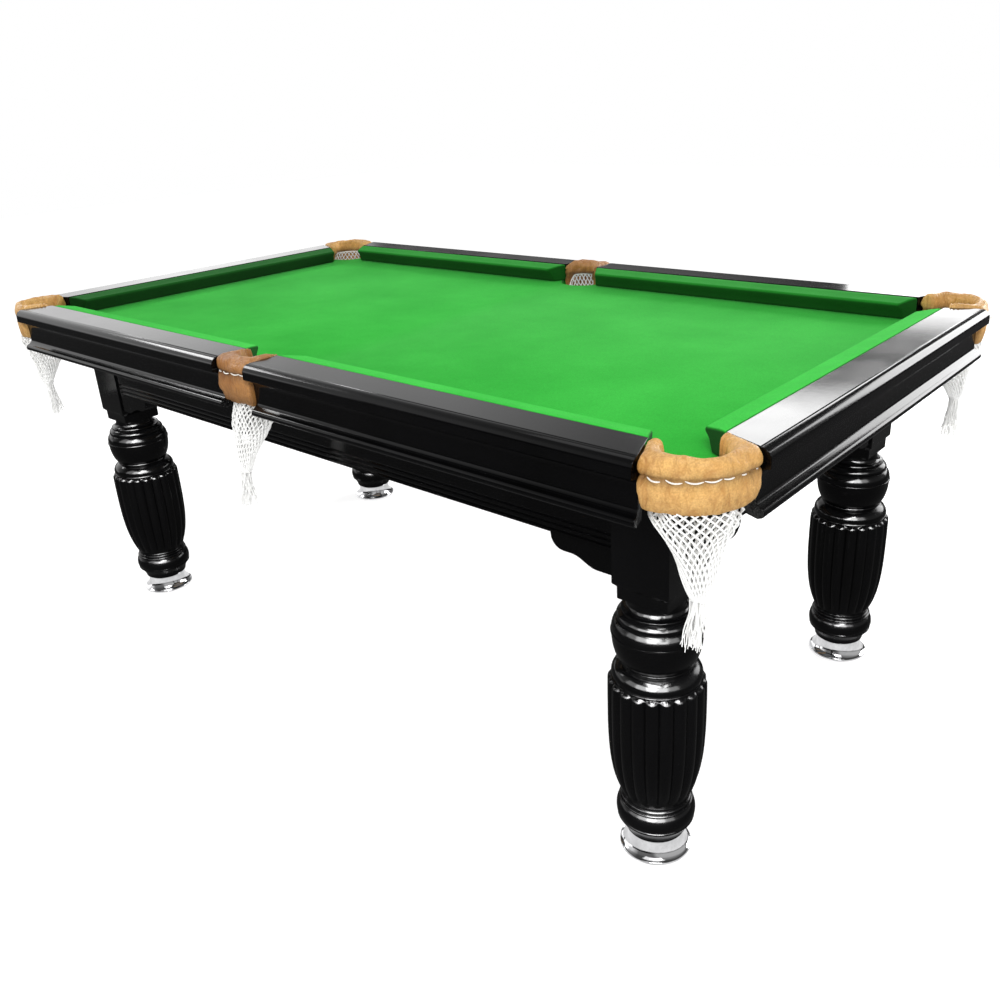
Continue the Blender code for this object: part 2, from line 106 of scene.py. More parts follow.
class Nodes:
    """A short way to add and join shader nodes."""

    def __init__(self, tree):
        self.tree = tree
        self.place = self.add("ShaderNodeTexCoord").outputs["Object"]

    def add(self, kind, **values):
        node = self.tree.nodes.new(kind)
        for key, value in values.items():
            setattr(node, key, value)
        return node

    def feed(self, socket, value):
        """Join an output to a socket, or set the socket's own value."""
        if isinstance(value, bpy.types.NodeSocket):
            self.tree.links.new(value, socket)
        else:
            socket.default_value = value

    def scaled(self, scale):
        """Object coordinates, stretched along each axis."""
        node = self.add("ShaderNodeMapping")
        self.feed(node.inputs["Vector"], self.place)
        node.inputs["Scale"].default_value = scale
        return node.outputs["Vector"]

    def noise(self, scale, detail=4.0, rough=0.5, vector=None, distortion=0.0):
        node = self.add("ShaderNodeTexNoise")
        self.feed(node.inputs["Vector"], vector or self.place)
        node.inputs["Scale"].default_value = scale
        node.inputs["Detail"].default_value = detail
        node.inputs["Roughness"].default_value = rough
        node.inputs["Distortion"].default_value = distortion
        return node.outputs["Fac"]

    def cells(self, scale, vector=None, feature="F1"):
        node = self.add("ShaderNodeTexVoronoi", feature=feature)
        self.feed(node.inputs["Vector"], vector or self.place)
        node.inputs["Scale"].default_value = scale
        return node.outputs["Distance"]

    def ramp(self, factor, *stops):
        """Map a factor through (position, value or colour) stops."""
        node = self.add("ShaderNodeValToRGB")
        self.feed(node.inputs["Fac"], factor)
        elements = node.color_ramp.elements
        while len(elements) < len(stops):
            elements.new(0.5)
        for element, (position, value) in zip(elements, stops):
            element.position = position
            colour = value if isinstance(value, tuple) else (value, value, value)
            element.color = (*colour, 1.0)
        return node.outputs["Color"]

    def maths(self, operation, a, b):
        node = self.add("ShaderNodeMath", operation=operation)
        self.feed(node.inputs[0], a)
        self.feed(node.inputs[1], b)
        return node.outputs[0]

    def mix(self, factor, a, b, blend="MIX"):
        node = self.add("ShaderNodeMix", data_type="RGBA", blend_type=blend)
        self.feed(node.inputs["Factor"], factor)
        self.feed(node.inputs["A"], a if isinstance(a, bpy.types.NodeSocket) else (*a, 1.0))
        self.feed(node.inputs["B"], b if isinstance(b, bpy.types.NodeSocket) else (*b, 1.0))
        return node.outputs["Result"]

    def bump(self, height, distance, strength=1.0, normal=None):
        node = self.add("ShaderNodeBump")
        self.feed(node.inputs["Height"], height)
        node.inputs["Distance"].default_value = distance
        node.inputs["Strength"].default_value = strength
        if normal:
            self.feed(node.inputs["Normal"], normal)
        return node.outputs["Normal"]


def new_material(name, **sockets):
    """A Principled material with constants on its own sockets, and its node helper."""
    mat = bpy.data.materials.new(name)
    mat.use_nodes = True
    shader = mat.node_tree.nodes["Principled BSDF"]
    for key, value in sockets.items():
        shader.inputs[key.replace("_", " ")].default_value = value
    return mat, shader, Nodes(mat.node_tree)


def lacquer_material(name, tone, shine, dull):
    """Black gloss lacquer with soft wiping marks and a faint orange peel."""
    mat, shader, nodes = new_material(name, Metallic=0.0, Specular_IOR_Level=0.25)
    smear = nodes.noise(9.0, 3.0, vector=nodes.scaled((1.0, 1.0, 0.4)))
    nodes.feed(shader.inputs["Base Color"], nodes.ramp(smear, (0.3, (tone, tone, 1.1 * tone)),
                                                       (0.8, (2 * tone, 2 * tone, 2.3 * tone))))
    nodes.feed(shader.inputs["Roughness"], nodes.ramp(smear, (0.3, shine), (0.75, dull)))
    peel = nodes.bump(nodes.noise(70.0, 2.0), 0.00020, 0.15)
    nodes.feed(shader.inputs["Normal"], peel)
    return mat


def cloth_material(name, shade=()):
    """Napped green wool: mottled colour, short fibres and a little sheen.

    On the cushions light and shade are painted into the colour: a ramp on each face's slope darkens it
    from level to undercut faces.
    """
    mat, shader, nodes = new_material(name, Roughness=0.92, Specular_IOR_Level=0.15)
    mottle = nodes.noise(5.0, 5.0, 0.6)
    fibre = nodes.noise(750.0, 3.0, 0.7, vector=nodes.scaled((1.0, 0.45, 1.0)))
    base = nodes.ramp(mottle, (0.30, (0.019, 0.400, 0.029)), (0.70, (0.036, 0.500, 0.047)))
    specks = nodes.ramp(fibre, (0.25, (0.50, 0.50, 0.50)), (0.55, (1.0, 1.0, 1.0)),
                        (0.85, (1.35, 1.25, 1.40)))
    colour = nodes.mix(0.55, base, specks, "MULTIPLY")
    # Painted shade: the colour is multiplied by a ramp on the face's upward slope, darkest on undercut
    # faces.
    if shade:
        slope = nodes.add("ShaderNodeSeparateXYZ")
        nodes.feed(slope.inputs[0], nodes.add("ShaderNodeNewGeometry").outputs["Normal"])
        colour = nodes.mix(1.0, colour, nodes.ramp(slope.outputs["Z"], *shade), "MULTIPLY")
    nodes.feed(shader.inputs["Base Color"], colour)
    nap = nodes.bump(fibre, 0.0006, 0.6)
    nodes.feed(shader.inputs["Normal"], nodes.bump(nodes.noise(60.0, 4.0), 0.0005, 0.3, nap))
    shader.inputs["Sheen Weight"].default_value = 0.08
    shader.inputs["Sheen Roughness"].default_value = 0.5
    shader.inputs["Sheen Tint"].default_value = (0.45, 1.0, 0.5, 1.0)
    return mat


def leather_material(name, light, dark):
    """Pebbled leather with painted shade: darker in its creases, along its seam and at its lower edge, and
    lighter on its roll and skirt.
    """
    mat, shader, nodes = new_material(name)
    pebble = nodes.cells(430.0, feature="SMOOTH_F1")
    pores = nodes.cells(1500.0)
    wrinkle = nodes.noise(55.0, 5.0, 0.62, vector=nodes.scaled((1.0, 1.0, 0.45)), distortion=1.6)
    cloud = nodes.noise(14.0, 4.0, 0.6)
    # Tone is half random clouds, half painted shade that darkens the wrinkles' hollows.
    tone = nodes.maths("ADD", nodes.maths("MULTIPLY", cloud, 0.5),
                       nodes.maths("MULTIPLY", wrinkle, 0.5))
    hide = nodes.mix(nodes.ramp(pebble, (0.25, 0.0), (0.70, 0.50)),
                     nodes.ramp(tone, (0.36, dark), (0.58, light)), dark)
    axes = nodes.add("ShaderNodeSeparateXYZ")
    nodes.feed(axes.inputs[0], nodes.place)
    # Painted light and shade by height: darker at the lower edge and the seam's crease, lighter on the
    # skirt's belly and the roll's top.
    painted_light_and_shade = nodes.ramp(axes.outputs["Z"], (0.722, 0.62), (0.738, 0.92), (0.757, 1.12), (0.768, 0.92),
                      (0.7757, 0.42), (0.782, 0.88), (0.792, 1.15), (0.805, 1.05))
    nodes.feed(shader.inputs["Base Color"], nodes.mix(1.0, hide, painted_light_and_shade, "MULTIPLY"))
    nodes.feed(shader.inputs["Roughness"], nodes.ramp(tone, (0.3, 0.50), (0.7, 0.34)))
    grain = nodes.bump(pebble, 0.0010, -0.8)
    fine = nodes.bump(pores, 0.0002, -0.3, grain)
    nodes.feed(shader.inputs["Normal"], nodes.bump(wrinkle, 0.0070, 0.85, fine))
    shader.inputs["Specular IOR Level"].default_value = 0.60
    return mat


def cotton_material(name, light, dark, scale):
    """White cotton cord with a fine laid twist."""
    mat, shader, nodes = new_material(name, Roughness=0.9)
    twist = nodes.noise(scale, 3.0, 0.6)
    nodes.feed(shader.inputs["Base Color"], nodes.ramp(twist, (0.30, dark), (0.60, light)))
    nodes.feed(shader.inputs["Normal"], nodes.bump(twist, 0.0004, 0.6))
    shader.inputs["Sheen Weight"].default_value = 0.2
    return mat


def chrome_material():
    """Polished chrome with faint circular buffing and a few darker smears."""
    mat, shader, nodes = new_material("chrome", Metallic=1.0)
    haze = nodes.noise(30.0, 4.0, 0.6)
    nodes.feed(shader.inputs["Base Color"], nodes.ramp(haze, (0.3, (0.62, 0.62, 0.63)),
                                                       (0.65, (0.86, 0.86, 0.87))))
    nodes.feed(shader.inputs["Roughness"], nodes.ramp(haze, (0.3, 0.13), (0.7, 0.05)))
    rings = nodes.noise(240.0, 2.0, vector=nodes.scaled((0.15, 0.15, 5.0)))
    nodes.feed(shader.inputs["Normal"], nodes.bump(rings, 0.0001, 0.25))
    return mat


def speckled_material(name, low, high, roughness, scale, bump, metallic=0.0):
    """A hard material with mottled colour and a fine surface."""
    mat, shader, nodes = new_material(name, Metallic=metallic)
    speck = nodes.noise(scale, 6.0, 0.65)
    nodes.feed(shader.inputs["Base Color"], nodes.ramp(speck, (0.3, low), (0.7, high)))
    nodes.feed(shader.inputs["Roughness"], nodes.ramp(speck, (0.3, roughness + 0.08), (0.7, roughness)))
    nodes.feed(shader.inputs["Normal"], nodes.bump(nodes.noise(scale * 6, 3.0), bump, 0.5))
    return mat


def timber_material():
    """Plain sawn pine with long grain along Y."""
    mat, shader, nodes = new_material("frame_timber", Roughness=0.75)
    stretched = nodes.scaled((1.0, 0.06, 1.0))
    rings = nodes.noise(55.0, 4.0, 0.6, vector=stretched, distortion=2.5)
    fibre = nodes.noise(600.0, 2.0, vector=stretched)
    base = nodes.ramp(rings, (0.35, (0.22, 0.13, 0.06)), (0.50, (0.42, 0.28, 0.15)),
                      (0.70, (0.50, 0.36, 0.21)))
    streaks = nodes.ramp(fibre, (0.3, 0.3), (0.7, 1.0))
    nodes.feed(shader.inputs["Base Color"], nodes.mix(0.25, base, streaks, "MULTIPLY"))
    nodes.feed(shader.inputs["Normal"], nodes.bump(fibre, 0.0004, 0.5))
    return mat


LACQUER = lacquer_material("black_lacquer", 0.0012, 0.10, 0.16)
LEG_LACQUER = lacquer_material("leg_lacquer", 0.0002, 0.14, 0.21)
CLOTH = cloth_material("green_cloth")
# Painted light and shade: three copies of the cushion cloth, brighter for the near cushions and darker for
# the back and left-end cushions that stand in shade.
PAINTED_LIT_CUSHION = cloth_material("cushion_cloth_bright",
                                ((0.0, 0.16), (0.45, 0.35), (0.85, 0.80), (1.0, 1.20)))
PAINTED_SHADE_CUSHION = cloth_material("cushion_cloth_dark",
                              ((0.0, 0.20), (0.45, 0.42), (0.85, 0.48), (1.0, 0.62)))
PAINTED_DEEP_SHADE_CUSHION = cloth_material("cushion_cloth_darkest",
                                 ((0.0, 0.10), (0.45, 0.15), (0.85, 0.17), (1.0, 0.24)))
LEATHER = leather_material("tan_leather", (0.790, 0.470, 0.155), (0.470, 0.215, 0.045))
SIDE_LEATHER = leather_material("brown_leather", (0.480, 0.225, 0.065), (0.270, 0.105, 0.025))
THREAD = cotton_material("white_thread", (0.94, 0.92, 0.88), (0.78, 0.74, 0.66), 900.0)
COTTON = cotton_material("white_cotton", (0.97, 0.97, 0.96), (0.86, 0.86, 0.84), 700.0)
CHROME = chrome_material()
SLATE = speckled_material("grey_slate", (0.060, 0.065, 0.070), (0.140, 0.145, 0.150),
                          0.62, 18.0, 0.0006)
IRON = speckled_material("black_iron", (0.015, 0.015, 0.015), (0.040, 0.038, 0.036),
                         0.45, 90.0, 0.0004, metallic=0.7)
ZINC = speckled_material("zinc_steel", (0.42, 0.43, 0.45), (0.62, 0.63, 0.66),
                         0.28, 120.0, 0.0002, metallic=1.0)
TIMBER = timber_material()


# -------------------- mesh helpers

def finished_mesh(name, bm, material, smooth_angle):
    """A smooth mesh whose edges stay sharp where they turn by more than an angle in degrees."""
    bmesh.ops.recalc_face_normals(bm, faces=bm.faces)
    mesh = bpy.data.meshes.new(name)
    bm.to_mesh(mesh)
    bm.free()
    mesh.materials.append(material)
    mesh.shade_smooth()
    mesh.set_sharp_from_angle(angle=math.radians(smooth_angle))
    return mesh


def place_piece(name, mesh, body, replaces=(), location=(0.0, 0.0, 0.0)):
    """Show a mesh as a piece that rides on a body and stands for CAD nodes."""
    obj = bpy.data.objects.new(name, mesh)
    obj.location = location
    bpy.context.scene.collection.objects.link(obj)
    bpy.context.view_layer.update()
    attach(obj, body)
    if replaces:
        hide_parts(*replaces)
    return obj


def mesh_piece(name, bm, material, body, replaces=(), smooth_angle=35.0):
    """Turn a bmesh that is already in the table's frame into a piece."""
    return place_piece(name, finished_mesh(name, bm, material, smooth_angle), body, replaces)


def skin(bm, rows):
    """Skin a grid of points whose columns close into rings, and cap the first and last ring."""
    rings = [[bm.verts.new(point) for point in row] for row in rows]
    count = len(rings[0])
    for ring, following in zip(rings, rings[1:]):
        for i in range(count):
            j = (i + 1) % count
            bm.faces.new((ring[i], ring[j], following[j], following[i]))
    bm.faces.new(rings[0][::-1])
    bm.faces.new(rings[-1])


def tube(bm, path, radius, sides=6, taper=None):
    """A closed tube along a list of points, with an optional radius factor along it."""
    rows = []
    side = None
    for i, point in enumerate(path):
        ahead = path[min(i + 1, len(path) - 1)] - path[max(i - 1, 0)]
        ahead.normalize()
        if side is None:
            side = ahead.orthogonal()
        side = (side - ahead * side.dot(ahead)).normalized()
        up = ahead.cross(side)
        r = radius * (taper(i / (len(path) - 1)) if taper else 1.0)
        rows.append([point + r * (math.cos(a) * side + math.sin(a) * up)
                     for a in (2 * math.pi * k / sides for k in range(sides))])
    skin(bm, rows)


def knot(bm, centre, radius):
    """A small round knot."""
    bmesh.ops.create_icosphere(bm, subdivisions=1, radius=radius,
                               matrix=Matrix.Translation(centre))


def spline(points, steps, closed=False):
    """A smooth curve through points (tuples of any length), with steps samples per span."""
    count = len(points)
    result = []
    for i in range(count if closed else count - 1):
        p = [points[(i + k) % count] if closed else points[min(max(i + k, 0), count - 1)]
             for k in (-1, 0, 1, 2)]
        for s in range(steps):
            t = s / steps
            result.append(tuple(
                0.5 * (2 * b + (c - a) * t + (2 * a - 5 * b + 4 * c - d) * t * t
                       + (3 * b - a - 3 * c + d) * t ** 3)
                for a, b, c, d in zip(*p)))
    if not closed:
        result.append(tuple(points[-1]))
    return result


def arc(centre, radius, start, end, count):
    """Points (x, y) along an arc between two angles in degrees."""
    angles = [math.radians(start + (end - start) * i / (count - 1)) for i in range(count)]
    return [(centre[0] + radius * math.cos(a), centre[1] + radius * math.sin(a)) for a in angles]


def ease(low, high, value):
    """0 below low, 1 above high, smooth between; low may be the larger."""
    t = min(max((value - low) / (high - low), 0.0), 1.0)
    return t * t * (3 - 2 * t)


def facing(outward, distance):
    """Placement at a distance from the table's centre: X points outward, Y up, Z along the side."""
    out = Vector(outward)
    up = Vector((0, 0, 1))
    axes = Matrix((out, up, out.cross(up))).transposed().to_4x4()
    return Matrix.Translation(out * distance) @ axes


def bevel(obj, width, segments, angle):
    """Round the edges that turn by more than an angle in degrees."""
    modifier = obj.modifiers.new("bevel", "BEVEL")
    modifier.width = width
    modifier.segments = segments
    modifier.limit_method = "ANGLE"
    modifier.angle_limit = math.radians(angle)


# -------------------- rails and cushions

def corner_setback(inward):
    """From the table's corner to the end of a rail or cushion, at a distance in from the edge."""
    on_rail = min(max(inward, 0.0), CAP_WIDTH)
    past_rail = max(inward - CAP_WIDTH, 0.0)
    return CORNER_GAP + CORNER_SLANT * on_rail + CORNER_JAW_SLANT * past_rail


def side_setback(inward):
    """From the table's middle to the end of a rail or cushion, at a distance in from the edge."""
    return SIDE_GAP + SIDE_JAW_SLANT * max(inward - CAP_WIDTH, 0.0)


def rail_outline():
    """Section of a rail: cap, quirk, rounded edge, cove, skirt, lower cove and bead."""
    top = RAIL_TOP
    bottom = RAIL_TOP - RAIL_DEPTH
    seat = BED_TOP + 0.0003
    quirk = [(-0.0052, top), (-0.0046, top - 0.0010), (-0.0040, top - 0.0010)]
    round_edge = arc((-0.004, top - 0.0165), 0.016, 88, 0, 12)
    cove = arc((0.0095, top - 0.0465), 0.0175, 90, 180, 8)
    lower_cove = arc((0.002, bottom + 0.028), 0.010, 180, 245, 6)
    bead = arc((-0.001, bottom + 0.0095), 0.0072, 78, -82, 12)
    return ([(-CAP_WIDTH, top)] + quirk + round_edge + [(0.012, top - 0.0275)] + cove
            + lower_cove + bead + [(-0.004, bottom), (-FASCIA_INNER, bottom),
                                   (-FASCIA_INNER, seat), (-CAP_WIDTH, seat)])


def cushion_outline():
    """Cloth-covered rubber: a softly crowned top, rounded nose and undercut face."""
    nose = BED_TOP + NOSE_HEIGHT
    back = -CAP_WIDTH - 0.0004
    top = [(back, RAIL_TOP - 0.0075), (back - 0.0016, RAIL_TOP - 0.0030),
           (back - 0.0034, RAIL_TOP - 0.0012), (back - 0.0070, RAIL_TOP - 0.0008),
           (back - 0.0180, RAIL_TOP - 0.0022)]
    round_nose = arc((-CUSHION_REACH + 0.0055, nose - 0.0030), 0.0055, 80, 205, 9)
    return (top + round_nose + [(-CUSHION_REACH + 0.009, nose - 0.014),
                                (-CUSHION_REACH + 0.016, BED_TOP + 0.0004),
                                (back, BED_TOP + 0.0004)])


def run_piece(node, outline, outward, distance, start, end, material, cuts):
    """Carry an outline along one side; start and end give its limits at each distance inward."""
    place = facing(outward, distance)
    rows = []
    for k in range(cuts + 1):
        t = k / cuts
        rows.append([place @ Vector((x, y, start(-x) * (1 - t) + end(-x) * t)) for x, y in outline])
    bm = bmesh.new()
    skin(bm, rows)
    return mesh_piece(f"{node}_look", bm, material, "table", [node])


def run_set(prefix, outline, material, cuts):
    """One piece on each of the six stretches between pockets."""
    half_x, half_y = RAIL_LENGTH / 2, RAIL_WIDTH / 2

    def from_low_corner(half):
        return lambda inward: corner_setback(inward) - half

    def to_high_corner(half):
        return lambda inward: half - corner_setback(inward)

    pieces = []
    for side, sy in LONG_SIDES.items():
        for end_name, sx in ENDS.items():
            if sx * sy < 0:
                start, end = from_low_corner(half_x), (lambda inward: -side_setback(inward))
            else:
                start, end = side_setback, to_high_corner(half_x)
            pieces.append(run_piece(f"{prefix}_{side}_{end_name}", outline, (0, sy, 0), half_y,
                                    start, end, material, cuts))
    for end_name, sx in ENDS.items():
        pieces.append(run_piece(f"{prefix}_{end_name}_end", outline, (sx, 0, 0), half_x,
                                from_low_corner(half_y), to_high_corner(half_y),
                                material, cuts))
    return pieces


def rails():
    """Six lacquered rails with slightly softened edges."""
    for obj in run_set("rail", rail_outline(), LACQUER, 1):
        bevel(obj, 0.0007, 2, 50)


def cushions():
    """Six padded cushions, with painted light and shade in three tones of their cloth."""
    for obj in run_set("cushion", cushion_outline(), PAINTED_LIT_CUSHION, 24):
        # Painted shade: the back cushions take the darker copy, the left end the darkest.
        if "back" in obj.name:
            obj.data.materials[0] = PAINTED_SHADE_CUSHION
        if "left_end" in obj.name:
            obj.data.materials[0] = PAINTED_DEEP_SHADE_CUSHION
        bevel(obj, 0.0028, 3, 50)


# -------------------- bed cloth

CLOTH_CORNER_CUT = 0.0668  # from a corner pocket's centre to the corner's straight edges
CLOTH_CORNER_JAW = (-0.034, 0.0755)  # end of a jaw, along and across the corner's diagonal
CLOTH_CORNER_RADIUS = 0.0485
CLOTH_SIDE_RADIUS = 0.0625
CLOTH_SIDE_INSET = 0.055  # from a rail's outer edge in to the centre of the cut-out
# How far the cloth's turned-down edge lies into a pocket and below the bed, step by step.
CLOTH_TURNDOWN = ((0.0008, 0.0003), (0.0022, 0.0016), (0.0030, 0.0040), (0.0032, 0.0090),
                  (0.0030, 0.0200))


def corner_edge(sx, sy, forward):
    """The cloth's edge at a corner: points, whether they turn down, and the pocket's centre."""
    centre_x, centre_y = RAIL_LENGTH / 2 - MOUTH_INSET, RAIL_WIDTH / 2 - MOUTH_INSET
    centre = (sx * centre_x, sy * centre_y)

    def from_diagonal(u, v):
        x, y = (u - v) / math.sqrt(2), (u + v) / math.sqrt(2)
        return sx * (centre_x + x), sy * (centre_y + y)

    u, v = CLOTH_CORNER_JAW
    edge = [((sx * (centre_x - CLOTH_CORNER_CUT), sy * BED_HALF_Y), False, centre),
            (from_diagonal(u, v), False, centre)]
    edge += [(from_diagonal(*point), True, centre)
             for point in arc((0.0, 0.0), CLOTH_CORNER_RADIUS, 134.6, 225.4, 25)]
    edge += [(from_diagonal(u, -v), False, centre),
             ((sx * BED_HALF_X, sy * (centre_y - CLOTH_CORNER_CUT)), False, centre)]
    return edge if forward else edge[::-1]


def side_edge(sy, forward):
    """The cloth's edge at a middle pocket, in the same form."""
    centre = (0.0, sy * (RAIL_WIDTH / 2 - CLOTH_SIDE_INSET))
    half = math.degrees(math.acos((BED_HALF_Y - abs(centre[1])) / CLOTH_SIDE_RADIUS))
    edge = []
    for i in range(29):
        angle = math.radians(half + (360 - 2 * half) * i / 28)
        edge.append(((CLOTH_SIDE_RADIUS * math.sin(angle),
                      centre[1] + sy * CLOTH_SIDE_RADIUS * math.cos(angle)), True, centre))
    return edge if forward else edge[::-1]


def bed_cloth():
    """The cloth on the slates, turned down over their edge at each pocket."""
    outline = (corner_edge(-1, -1, False) + side_edge(-1, False) + corner_edge(1, -1, True)
               + corner_edge(1, 1, False) + side_edge(1, True) + corner_edge(-1, 1, True))
    bm = bmesh.new()
    top = [bm.verts.new((*point, BED_TOP)) for point, _, _ in outline]
    face = bm.faces.new(top)
    rows = []
    for (point, turns_down, centre), vert in zip(outline, top):
        toward = Vector((centre[0] - point[0], centre[1] - point[1], 0)).normalized()
        row = [vert]
        if turns_down:
            row += [bm.verts.new(vert.co + toward * across - Vector((0, 0, down)))
                    for across, down in CLOTH_TURNDOWN]
        rows.append(row)
    for i, (_, turns_down, centre) in enumerate(outline):
        j = (i + 1) % len(outline)
        if not (turns_down and outline[j][1] and centre == outline[j][2]):
            continue
        for k in range(len(CLOTH_TURNDOWN)):
            bm.faces.new((rows[i][k], rows[j][k], rows[j][k + 1], rows[i][k + 1]))
    bmesh.ops.triangulate(bm, faces=[face])
    obj = mesh_piece("bed_cloth_look", bm, CLOTH, "table", ["bed_cloth"], 60)


# -------------------- pockets

def pockets():
    """Each pocket's name, its placement with X pointing out of the table, and if it is a corner."""
    for side, sy in LONG_SIDES.items():
        for column, sx in POCKET_COLUMNS.items():
            centre = (sx * (RAIL_LENGTH / 2 - MOUTH_INSET), sy * (RAIL_WIDTH / 2 - MOUTH_INSET))
            place = (Matrix.Translation((*centre, 0.0))
                     @ Matrix.Rotation(math.atan2(sy, sx), 4, "Z"))
            yield f"{side}_{column}", place, sx != 0


def rail_clearance(theta, is_corner):
    """How far the end of the neighbouring rail is from a pocket's centre, along an angle."""
    theta = abs(theta)
    if not is_corner:
        return SIDE_GAP / math.sin(theta) if theta > 0.1 else math.inf
    turn = theta + math.pi / 4
    closing = CORNER_SLANT * math.sin(turn) - math.cos(turn)
    offset = CORNER_GAP - MOUTH_INSET + CORNER_SLANT * MOUTH_INSET
    return offset / closing if closing > 0.1 else math.inf


def polar(radius, theta, height):
    """A point at a radius and angle round Z."""
    return Vector((radius * math.cos(theta), radius * math.sin(theta), height))


# Section of a leather: share of the way from the mouth to the front, and height.
LEATHER_OUTLINE = (
    (0.02, 0.7745), (-0.01, 0.7830), (0.00, 0.7930), (0.12, 0.8010), (0.34, 0.8048), (0.58, 0.8050),
    (0.80, 0.8015), (0.94, 0.7945), (0.99, 0.7865), (0.965, 0.7800), (0.900, 0.7757), (0.955, 0.7715),
    (1.00, 0.7620), (1.00, 0.7500), (0.97, 0.7380), (0.91, 0.7265), (0.845, 0.7188), (0.800, 0.7172),
    (0.775, 0.7200), (0.84, 0.7320), (0.89, 0.7460), (0.88, 0.7600), (0.80, 0.7695), (0.40, 0.7705))
ROLL_CENTRE = 0.7885
ROLL_BOTTOM = 0.772
SEAM_HEIGHT = 0.7757
SEAM_ACROSS = 0.925
ARM_TIP = 0.14  # angle over which the tip of an arm is rounded
SIDE_ARM_FALL = 0.0065  # how far the arms of a middle leather drop at their tips
STITCH_LENGTH = 0.0225
STITCH_GAP = 0.0018
THREAD_RADIUS = 0.00115


def leather_outer(theta, is_corner):
    """How far out a leather reaches along an angle: its front, or the end of a rail."""
    radius = CORNER_FRONT_RADIUS if is_corner else SIDE_FRONT_RADIUS
    setback = CORNER_FRONT_SETBACK if is_corner else SIDE_FRONT_SETBACK
    front = math.sqrt(radius ** 2 - (setback * math.sin(theta)) ** 2) - setback * math.cos(theta)
    return min(front, rail_clearance(theta, is_corner) - 0.0006)


def leather_wrinkle(point, theta, sweep, seed):
    """How far the leather's surface lifts at a point: soft folds, with puckers near both ends."""
    folds = noise.noise(Vector((point.x * 34, point.y * 34, point.z * 70 + seed)))
    fine = noise.noise(Vector((point.x * 90, point.y * 90, point.z * 45 + seed * 3)))
    near_end = max(0.0, 1.0 - (sweep - abs(theta)) / 0.55)
    pucker = math.sin(theta * 46 + 2.5 * folds) * near_end
    return 0.0030 * folds + 0.0010 * fine + 0.0016 * pucker


def arm_fullness(theta, sweep):
    """How full a leather is along its arms: 0 at a tip, 1 beyond the tip's rounding."""
    short = max(0.0, 1 - (sweep - abs(theta)) / ARM_TIP)
    return math.sqrt(max(0.0, 1 - short ** 2.2))


def leather(name, place, is_corner, seed):
    """A padded horseshoe with a rolled lip, a sewn crease and a skirt below it."""
    sweep = CORNER_LEATHER_SWEEP if is_corner else SIDE_LEATHER_SWEEP
    inner = CORNER_MOUTH_RADIUS if is_corner else SIDE_MOUTH_RADIUS
    bottom = CORNER_LEATHER_BOTTOM if is_corner else SIDE_LEATHER_BOTTOM
    shorten = (SEAM_HEIGHT - bottom) / (SEAM_HEIGHT - SIDE_LEATHER_BOTTOM)
    outline = [(across, height if height > SEAM_HEIGHT else SEAM_HEIGHT - (SEAM_HEIGHT - height) * shorten)
               for across, height in spline(LEATHER_OUTLINE, 3, closed=True)]
    count = 150 if is_corner else 110
    arm_fall = 0.0 if is_corner else SIDE_ARM_FALL
    rows = []
    for k in range(count + 1):
        theta = sweep * math.sin(math.pi / 2 * (2 * k / count - 1))
        outer = leather_outer(theta, is_corner)
        fullness = arm_fullness(theta, sweep)
        row = []
        for across, height in outline:
            across = 0.5 + (across - 0.5) * (0.12 + 0.88 * fullness)
            if height > ROLL_BOTTOM:
                height = ROLL_CENTRE + (height - ROLL_CENTRE) * (0.35 + 0.65 * fullness)
                height -= arm_fall * ease(0.9, sweep, abs(theta))
            point = polar(inner + (outer - inner) * across, theta, height)
            lift = leather_wrinkle(point, theta, sweep, seed)
            outward = Vector((math.cos(theta), math.sin(theta), 0)) * (across - 0.5)
            outward.z = (height - ROLL_CENTRE) * 12
            against_rail = across > 0.9 and outer > rail_clearance(theta, is_corner) - 0.004
            if outward.length > 1e-6:
                point += outward.normalized() * min(lift, 0.0004 if against_rail else 1.0)
            row.append(place @ point)
        rows.append(row)
    bm = bmesh.new()
    skin(bm, rows)
    material = LEATHER if is_corner else SIDE_LEATHER
    obj = mesh_piece(f"pocket_leather_{name}_look", bm, material, "table",
                     [f"pocket_leather_{name}"], 75)


def stitching(name, place, is_corner):
    """Long saddle stitches of white thread lying in the leather's crease."""
    inner = CORNER_MOUTH_RADIUS if is_corner else SIDE_MOUTH_RADIUS
    reach = 1.16 if is_corner else 0.62
    bm = bmesh.new()
    theta = -reach
    while theta < reach:
        outer = leather_outer(theta, is_corner)
        radius = inner + (outer - inner) * SEAM_ACROSS
        step = STITCH_LENGTH / radius
        path = []
        for i in range(9):
            t = i / 8
            bow = math.sin(math.pi * t)
            path.append(place @ polar(radius + 0.0010 + 0.0010 * bow, theta + step * t,
                                      SEAM_HEIGHT + 0.0006 - 0.0020 * bow))
        tube(bm, path, THREAD_RADIUS, 8, lambda t: 0.45 + 0.55 * math.sin(math.pi * t) ** 0.35)
        theta += step + STITCH_GAP / radius
    mesh_piece(f"pocket_stitching_{name}", bm, THREAD, "table", (), 60)


